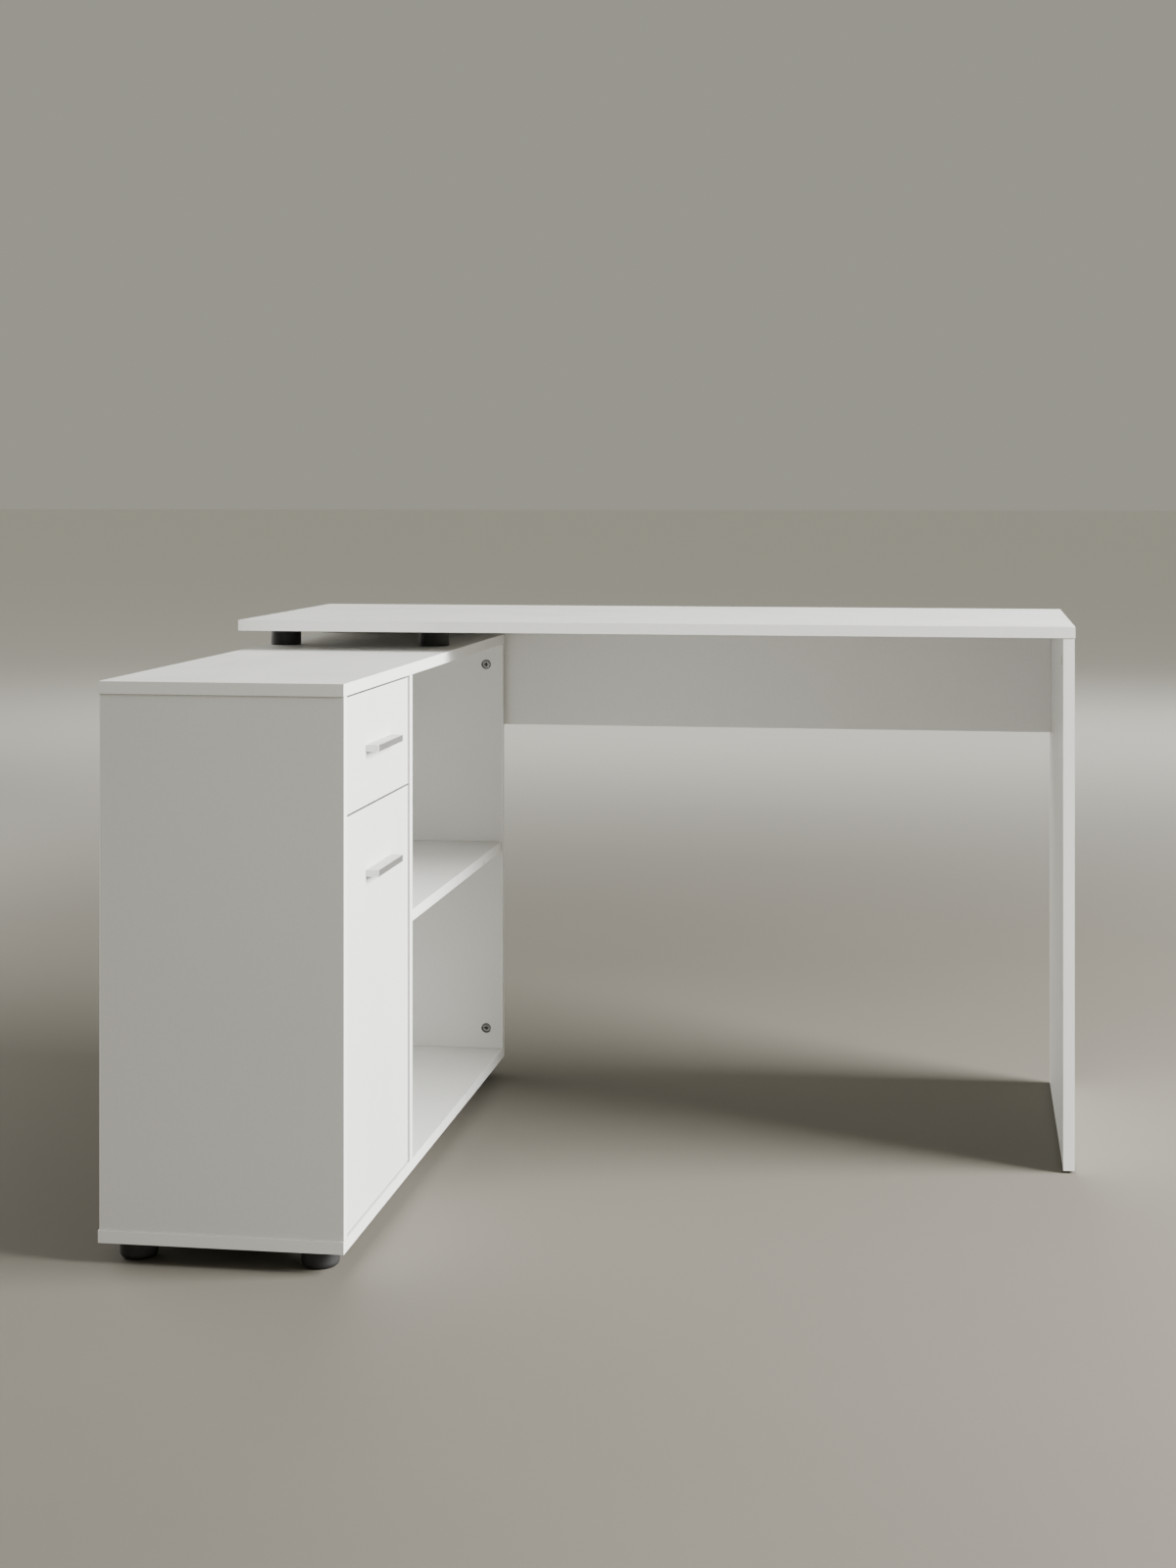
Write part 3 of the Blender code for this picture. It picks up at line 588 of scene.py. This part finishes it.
def sink_shape(bm, ring, outline, depth, taper=0.6):
    """Close a flat ring with a face that has outline sunk into it."""
    height = ring[0].co.z
    mouth = [bm.verts.new((x, y, height)) for x, y in outline]
    floor_ring = [bm.verts.new((x * taper, y * taper, height - depth)) for x, y in outline]
    bmesh.ops.triangle_fill(bm, use_beauty=True, edges=loop_edges(bm, ring) + loop_edges(bm, mouth))
    count = len(mouth)
    for step in range(count):
        after = (step + 1) % count
        bm.faces.new((mouth[step], mouth[after], floor_ring[after], floor_ring[step]))
    cap(bm, floor_ring)


def swing(bm, place, outward):
    """Move a piece made on +Z so that its axis points outward from place."""
    turned = Vector((0, 0, 1)).rotation_difference(Vector(outward)).to_matrix().to_4x4()
    bm.transform(Matrix.Translation(place) @ turned)


def outer_end(node, outward):
    """Middle of a node's outer end, and its length that way."""
    low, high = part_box(node)
    reach = sum(abs(part) * half for part, half in zip(outward, (high - low) / 2))
    return (low + high) / 2 + Vector(outward) * reach, 2 * reach


def finish_piece(name, bm, material, body, node=None, sharp=35):
    bmesh.ops.recalc_face_normals(bm, faces=bm.faces)
    mesh = bpy.data.meshes.new(name)
    bm.to_mesh(mesh)
    bm.free()
    mesh.shade_smooth()
    mesh.set_sharp_from_angle(angle=math.radians(sharp))
    mesh.materials.append(material)
    piece = bpy.data.objects.new(name, mesh)
    bpy.context.scene.collection.objects.link(piece)
    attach(piece, body)
    if node:
        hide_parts(node)
    return piece


print("lathe ready")

# %% [markdown]
# ## Feet and spacers
#
# The cabinet stands on six black glides, and its top carries the desktop on two spacers, so that a dark
# gap parts the two. A foot is a squat disc whose lower edge curves in with a wide radius, with a recess
# for its screw underneath. A spacer is a plain drum with its two edges just broken.

# %% Six feet with their screws, and two spacers
FOOT_ROUND = 7.0 * MM
FOOT_TOP_BREAK = 0.7 * MM
RECESS_RADIUS = 5.0 * MM
RECESS_DEPTH = 4.0 * MM
SPACER_BREAK = 0.8 * MM


def make_foot(node):
    place, height = outer_end(node, (0, 0, -1))
    low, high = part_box(node)
    radius = (high.x - low.x) / 2
    profile = [(RECESS_RADIUS, -RECESS_DEPTH), (RECESS_RADIUS, -0.4 * MM), (RECESS_RADIUS + 0.4 * MM, 0.0)]
    profile += [(radius - FOOT_ROUND - 1.6 * MM, 0.0), (radius - FOOT_ROUND - 1.2 * MM, -0.25 * MM)]
    profile += [(radius - FOOT_ROUND - 0.6 * MM, -0.25 * MM), (radius - FOOT_ROUND - 0.2 * MM, 0.0)]
    profile += corner(radius - FOOT_ROUND, -FOOT_ROUND, FOOT_ROUND, 90, 0, 10)
    profile += corner(radius - FOOT_TOP_BREAK, -height + FOOT_TOP_BREAK, FOOT_TOP_BREAK, 0, -90, 3)
    bm = bmesh.new()
    rings = lathe(bm, profile, ROUND)
    cap(bm, rings[0])
    cap(bm, rings[-1])
    swing(bm, place, (0, 0, -1))
    return finish_piece(f"moulded_{node}", bm, black_plastic, "desk_frame", node)


def make_screw_head(name, place, outward, body, radius=3.4 * MM, rise=1.3 * MM, seat=0.2 * MM):
    """A domed head with a cross recess, standing `rise` from place."""
    bm = bmesh.new()
    profile = [(radius * 0.6, -seat), (radius, 0.0), (radius, 0.25 * rise), (radius * 0.92, 0.6 * rise)]
    profile += [(radius * 0.78, 0.88 * rise), (radius * 0.62, rise)]
    rings = lathe(bm, profile, SMALL_ROUND)
    cap(bm, rings[0])
    sink_shape(bm, rings[-1], cross_shape(radius * 0.5, radius * 0.2), rise * 0.7)
    swing(bm, place, outward)
    return finish_piece(name, bm, zinc, body)


def make_spacer(node):
    place, height = outer_end(node, (0, 0, 1))
    low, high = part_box(node)
    radius = (high.x - low.x) / 2
    profile = corner(radius - SPACER_BREAK, -SPACER_BREAK, SPACER_BREAK, 90, 0)
    profile += corner(radius - SPACER_BREAK, -height + SPACER_BREAK, SPACER_BREAK, 0, -90)
    bm = bmesh.new()
    rings = lathe(bm, profile, ROUND)
    cap(bm, rings[0])
    cap(bm, rings[-1])
    swing(bm, place, (0, 0, 1))
    return finish_piece(f"moulded_{node}", bm, black_plastic, "desk_frame", node)


feet = [name for name in nodes if name.startswith("foot_")]
for node in feet:
    make_foot(node)
    end, length = outer_end(node, (0, 0, -1))
    make_screw_head(f"{node}_screw", end + Vector((0, 0, RECESS_DEPTH)), (0, 0, -1), "desk_frame")
for node in ("spacer_back", "spacer_front"):
    make_spacer(node)
print(len(feet), "feet and 2 spacers")

# %% [markdown]
# ## Cams, screws and pins
#
# A cam lock is a zinc disc let flush into a board's inner face. A turn of its cross recess pulls the bolt
# of the next board tight. A dark ring shows round its face, where the disc steps down to its pocket.
# The handle and modesty screws are pan heads, and the shelf pins have a collar that rests on the panel.

# %% Cam discs
CAM_STEP = 1.9 * MM
CAM_GROOVE = 7.0 * MM
CAM_SLOT_DEPTH = 8.5 * MM


def make_cam(node, outward):
    place, depth = outer_end(node, outward)
    low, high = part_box(node)
    radius = (high.z - low.z) / 2
    face = radius - CAM_STEP
    profile = [(radius, -depth), (radius, -0.15 * MM), (radius - 0.15 * MM, 0.0), (radius - 0.35 * MM, 0.0)]
    profile += [(radius - 0.35 * MM, -CAM_GROOVE), (face, -CAM_GROOVE), (face, -0.35 * MM)]
    profile += [(face - 0.25 * MM, -0.1 * MM), (face - 0.8 * MM, -0.1 * MM), (face - 1.0 * MM, -0.3 * MM)]
    bm = bmesh.new()
    rings = lathe(bm, profile, SMALL_ROUND)
    cap(bm, rings[0])
    sink_shape(bm, rings[-1], cross_shape(3.2 * MM, 2.4 * MM), CAM_SLOT_DEPTH, 0.5)
    swing(bm, place, outward)
    return finish_piece(f"cast_{node}", bm, cast_zinc, "desk_frame", node)


for node in [name for name in nodes if name.startswith("end_cam")]:
    make_cam(node, (0, -1, 0))
for node in ("leg_cam_near", "leg_cam_far"):
    make_cam(node, (-1, 0, 0))
print("cams made")

# %% Screws with their shanks
HEAD_RADIUS = 4.0 * MM
HEAD_RISE = 2.2 * MM
THREAD_RADIUS = 1.9 * MM
THREAD_PITCH = 1.6 * MM


def make_screw(node, outward, body):
    place, length = outer_end(node, outward)
    profile = [(0.3 * MM, -length)]
    turns = int((length - HEAD_RISE - 2 * MM) / THREAD_PITCH)
    for turn in range(turns):
        height = -length + 1.5 * MM + turn * THREAD_PITCH
        profile += [(THREAD_RADIUS * 0.72, height), (THREAD_RADIUS, height + THREAD_PITCH / 2)]
    profile += [(THREAD_RADIUS * 0.72, -HEAD_RISE - 0.2 * MM), (HEAD_RADIUS * 0.96, -HEAD_RISE)]
    profile += [(HEAD_RADIUS, -HEAD_RISE + 0.3 * MM), (HEAD_RADIUS * 0.97, -0.9 * MM)]
    profile += [(HEAD_RADIUS * 0.86, -0.35 * MM), (HEAD_RADIUS * 0.66, 0.0)]
    bm = bmesh.new()
    rings = lathe(bm, profile, SMALL_ROUND)
    cap(bm, rings[0])
    sink_shape(bm, rings[-1], cross_shape(2.2 * MM, 0.9 * MM), 1.5 * MM)
    swing(bm, place, outward)
    return finish_piece(f"driven_{node}", bm, zinc, body, node)


for end in ("near", "far"):
    make_screw(f"drawer_handle_screw_{end}", (-1, 0, 0), "drawer")
    make_screw(f"door_handle_screw_{end}", (-1, 0, 0), "door")
for side in ("back", "front"):
    make_screw(f"modesty_screw_{side}", (0, 1, 0), "desk_frame")
print("six screws made")

# %% Shelf pins
PIN_RADIUS = 2.5 * MM
COLLAR_RADIUS = 4.0 * MM


def make_pin(node, outward):
    place, length = outer_end(node, outward)
    face = -length / 2
    profile = [(PIN_RADIUS - 0.5 * MM, -length), (PIN_RADIUS, -length + 0.5 * MM)]
    profile += [(PIN_RADIUS, face + 0.3 * MM)]
    profile += [(COLLAR_RADIUS - 0.2 * MM, face + 0.3 * MM), (COLLAR_RADIUS, face + 0.5 * MM)]
    profile += [(COLLAR_RADIUS, face + 1.3 * MM), (COLLAR_RADIUS - 0.2 * MM, face + 1.5 * MM)]
    profile += [(PIN_RADIUS, face + 1.5 * MM)]
    profile += corner(PIN_RADIUS - 0.8 * MM, -0.8 * MM, 0.8 * MM, 0, 90)
    bm = bmesh.new()
    rings = lathe(bm, profile, SMALL_ROUND)
    cap(bm, rings[0])
    cap(bm, rings[-1])
    swing(bm, place, outward)
    return finish_piece(f"turned_{node}", bm, zinc, "desk_frame", node)


for side, outward in (("near", (0, 1, 0)), ("far", (0, -1, 0))):
    for column in ("back", "front"):
        make_pin(f"shelf_pin_{side}_{column}", outward)
print("four shelf pins made")

# %% [markdown]
# ## Handles
#
# Each handle is a ledge: a flat aluminium profile with a front lip to pull on and a hollow underneath for
# the fingertips. The CAD solid already has that shape, so it stays, and only its arrises are eased and its
# faces brushed.

# %% Brushed ledge handles
for node in ("drawer_handle", "door_handle"):
    dress(node, aluminium)
    soften(nodes[node], 0.5 * MM, 3)
print("handles brushed")

# %% [markdown]
# ## Drawer runners
#
# A roller runner is a pair of bent steel strips, powder-coated white: a channel on the cabinet and a
# flange under the drawer box. One nylon wheel turns at the front of the channel and one at the back of the
# flange. The strips keep their CAD shape with the bends eased, and gain the screws that hold them.

# %% Strips, wheels and screws
BEND = 0.35 * MM
WHEEL_CROWN = 0.9 * MM
HUB_RADIUS = 3.6 * MM
RUNNER_SCREWS = (0.12, 0.5, 0.88)

for node in ("cabinet_runner_near", "cabinet_runner_far", "drawer_runner_near", "drawer_runner_far"):
    dress(node, powder)
    soften(nodes[node], BEND)


def make_wheel(node, outward):
    place, width = outer_end(node, outward)
    low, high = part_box(node)
    radius = (high.z - low.z) / 2
    bore = 2.3 * MM
    profile = [(bore, -width), (HUB_RADIUS, -width), (HUB_RADIUS, -width + 0.7 * MM)]
    profile += [(radius - 1.6 * MM, -width + 0.7 * MM), (radius - 1.2 * MM, -width)]
    profile += corner(radius - WHEEL_CROWN, -width + WHEEL_CROWN, WHEEL_CROWN, -90, 0)
    profile += corner(radius - WHEEL_CROWN, -WHEEL_CROWN, WHEEL_CROWN, 0, 90)
    profile += [(radius - 1.2 * MM, 0.0), (radius - 1.6 * MM, -0.7 * MM)]
    profile += [(HUB_RADIUS, -0.7 * MM), (HUB_RADIUS, 0.0), (bore, 0.0)]
    bm = bmesh.new()
    lathe(bm, profile, SMALL_ROUND, closed=True)
    swing(bm, place, outward)
    body = node.replace("runner_", "")
    return finish_piece(f"wheel_{body}", bm, nylon, body, node)


WEB_INSIDE = 1.2 * MM
for side, outward in (("near", (0, 1, 0)), ("far", (0, -1, 0))):
    for end in ("front", "back"):
        make_wheel(f"runner_roller_{side}_{end}", outward)
    low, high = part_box(f"cabinet_runner_{side}")
    y_web = low.y + WEB_INSIDE if side == "near" else high.y - WEB_INSIDE
    for number, share in enumerate(RUNNER_SCREWS):
        x_screw = low.x + 20 * MM + share * (high.x - low.x - 60 * MM)
        place = Vector((x_screw, y_web, (low.z + high.z) / 2))
        make_screw_head(f"runner_screw_{side}_{number}", place, outward, "desk_frame", 3.2 * MM, 1.1 * MM)
print("runners dressed, four wheels and six screws made")

# %% [markdown]
# ## Concealed hinges
#
# A cup is pressed from sheet and let into the door's rear face, and a cranked arm reaches it from a plate
# on the end panel. The cup is turned with a rolled rim and a hollow well. The arm keeps its CAD shape with
# eased edges, and two adjusting screws stand on it.

# %% Hinge cups and arms
ARM_RISE = 11.0 * MM


def make_cup(node):
    place, depth = outer_end(node, (-1, 0, 0))
    low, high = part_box(node)
    rim = (high.z - low.z) / 2
    outer = rim - 3.5 * MM
    inner = outer - 1.2 * MM
    profile = [(inner - 2.0 * MM, -depth + 1.0 * MM), (inner - 0.6 * MM, -depth + 1.5 * MM)]
    profile += [(inner, -depth + 2.8 * MM)]
    profile += [(inner, -0.8 * MM), (inner + 0.3 * MM, -0.25 * MM), (inner + 0.9 * MM, 0.0)]
    profile += corner(rim - 0.4 * MM, -0.4 * MM, 0.4 * MM, 90, 0, 3)
    profile += [(rim, -1.2 * MM), (outer, -1.2 * MM), (outer, -depth + 1.2 * MM), (outer - 1.2 * MM, -depth)]
    bm = bmesh.new()
    rings = lathe(bm, profile, ROUND)
    cap(bm, rings[0])
    cap(bm, rings[-1])
    swing(bm, place, (-1, 0, 0))
    return finish_piece(f"pressed_{node}", bm, zinc, "door", node)


for height in ("lower", "upper"):
    make_cup(f"hinge_cup_{height}")
    arm = f"hinge_arm_{height}"
    dress(arm, zinc)
    soften(nodes[arm], 0.5 * MM)
    low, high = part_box(arm)
    for number, run in enumerate((14.0 * MM, 27.0 * MM)):
        place = Vector((low.x + run, low.y + ARM_RISE, (low.z + high.z) / 2))
        make_screw_head(f"{arm}_adjuster_{number}", place, (0, 1, 0), "desk_frame", 3.0 * MM, 0.9 * MM)
print("two hinges made")

# %% [markdown]
# ## Leg glides and back nails
#
# Two thin plastic glides keep the leg panel's bare lower edge off the floor. The hardboard back sits in its
# rebate under a row of small nails, one about every hand's width, which only show from behind.

# %% Glides and nails
NAIL_RADIUS = 2.2 * MM
NAIL_RISE = 0.6 * MM
NAIL_PITCH = 0.11
NAIL_INSET = 5.0 * MM

for node in ("leg_glide_near", "leg_glide_far"):
    dress(node, black_plastic)
    soften(nodes[node], 0.5 * MM)


def spread(start, end, pitch):
    count = max(1, round((end - start) / pitch))
    return [start + (end - start) * step / count for step in range(count + 1)]


def make_nails():
    low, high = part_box("back_panel")
    y_near, y_far = low.y + NAIL_INSET, high.y - NAIL_INSET
    z_low, z_high = low.z + NAIL_INSET, high.z - NAIL_INSET
    divider_low, divider_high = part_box("divider_panel")
    y_divider = (divider_low.y + divider_high.y) / 2
    spots = [(y, z) for z in (z_low, z_high) for y in spread(y_near, y_far, NAIL_PITCH)]
    for y in (y_near, y_divider, y_far):
        spots += [(y, z) for z in spread(z_low, z_high, NAIL_PITCH)[1:-1]]
    bm = bmesh.new()
    for y, z in spots:
        nail = bmesh.new()
        profile = [(NAIL_RADIUS * 0.8, -0.2 * MM), (NAIL_RADIUS, 0.0), (NAIL_RADIUS * 0.85, NAIL_RISE * 0.6)]
        profile += [(NAIL_RADIUS * 0.5, NAIL_RISE)]
        rings = lathe(nail, profile, 20)
        cap(nail, rings[0])
        cap(nail, rings[-1])
        swing(nail, Vector((low.x, y, z)), (-1, 0, 0))
        part = bpy.data.meshes.new("nail")
        nail.to_mesh(part)
        nail.free()
        bm.from_mesh(part)
        bpy.data.meshes.remove(part)
    finish_piece("back_nails", bm, zinc, "desk_frame")
    return len(spots)


print(make_nails(), "nails in the back panel")

# %% [markdown]
# ## Floor, sky and lights
#
# White board shows its shape only through light and shade, so the room matters as much as the
# boards. One large lamp stands on the side of the fronts, like a window, and lights them fully while
# it grazes the tops and leaves the end panel in shade. A weak warm sky fills that shade, and a small
# fill lamp behind keeps the rear from going black. A third lamp, narrowed so that it misses the desk,
# brightens the floor behind it and sets the modesty panel off. The floor is a plain pale plane with a
# soft cloudy colour; far away it fades to the tone of the sky, so that no hard horizon cuts behind the
# desktop.

# %% Floor, sky and lights
FLOOR_SIZE = 240.0
FLOOR_DARK = (0.108, 0.100, 0.082, 1.0)
FLOOR_LIGHT = (0.142, 0.131, 0.108, 1.0)
FLOOR_FAR = (0.93, 0.91, 0.86, 1.0)


def add_floor():
    material, tree, shader = new_finish("pale_floor", 0.7)
    place = here(tree)
    near = mix_colors(tree, noise(tree, place, 0.8, 5.0), FLOOR_DARK, FLOOR_LIGHT)
    reach = tree.nodes.new("ShaderNodeVectorMath")
    reach.operation = "LENGTH"
    tree.links.new(place, reach.inputs[0])
    fade = smooth_step(tree, reach.outputs["Value"], 1.2, 9.0)
    feed(tree, shader.inputs["Base Color"], mix_colors(tree, fade, near, FLOOR_FAR))
    emboss(tree, shader, noise(tree, place, 180.0, 3.0), 0.2 * MM, 0.3)
    bm = bmesh.new()
    bmesh.ops.create_grid(bm, x_segments=1, y_segments=1, size=FLOOR_SIZE / 2)
    mesh = bpy.data.meshes.new("floor")
    bm.to_mesh(mesh)
    bm.free()
    floor = bpy.data.objects.new("floor", mesh)
    mesh.materials.append(material)
    bpy.context.scene.collection.objects.link(floor)
    return floor


def add_light(name, place, aim, size, power, tint=(1.0, 1.0, 1.0), spread=180.0):
    lamp = bpy.data.lights.new(name, "AREA")
    lamp.shape = "RECTANGLE"
    lamp.size, lamp.size_y = size
    lamp.energy = power
    lamp.color = tint
    lamp.spread = math.radians(spread)
    light = bpy.data.objects.new(name, lamp)
    light.location = place
    light.rotation_euler = (Vector(aim) - Vector(place)).to_track_quat("-Z", "Y").to_euler()
    bpy.context.scene.collection.objects.link(light)
    return light


def set_sky(color, strength):
    world = bpy.data.worlds.new("studio")
    world.use_nodes = True
    sky = world.node_tree.nodes["Background"]
    sky.inputs["Color"].default_value = (*color, 1.0)
    sky.inputs["Strength"].default_value = strength
    bpy.context.scene.world = world


floor = add_floor()
set_sky((0.99, 0.972, 0.83), 0.345)
add_light("window", (3.5, -0.38, 2.2), (-0.2, -0.1, 0.4), (2.2, 2.2), 850.0, (1.0, 0.995, 0.985))
add_light("fill", (-3.3, 1.5, 1.7), (0.0, 0.0, 0.3), (2.6, 2.6), 85.0, (1.0, 0.985, 0.94))
add_light("backdrop", (0.4, 5.4, 4.2), (0.4, 5.4, 0.0), (7.0, 3.0), 65.0, (1.0, 0.99, 0.95), 80.0)
print("floor, sky and lights set")
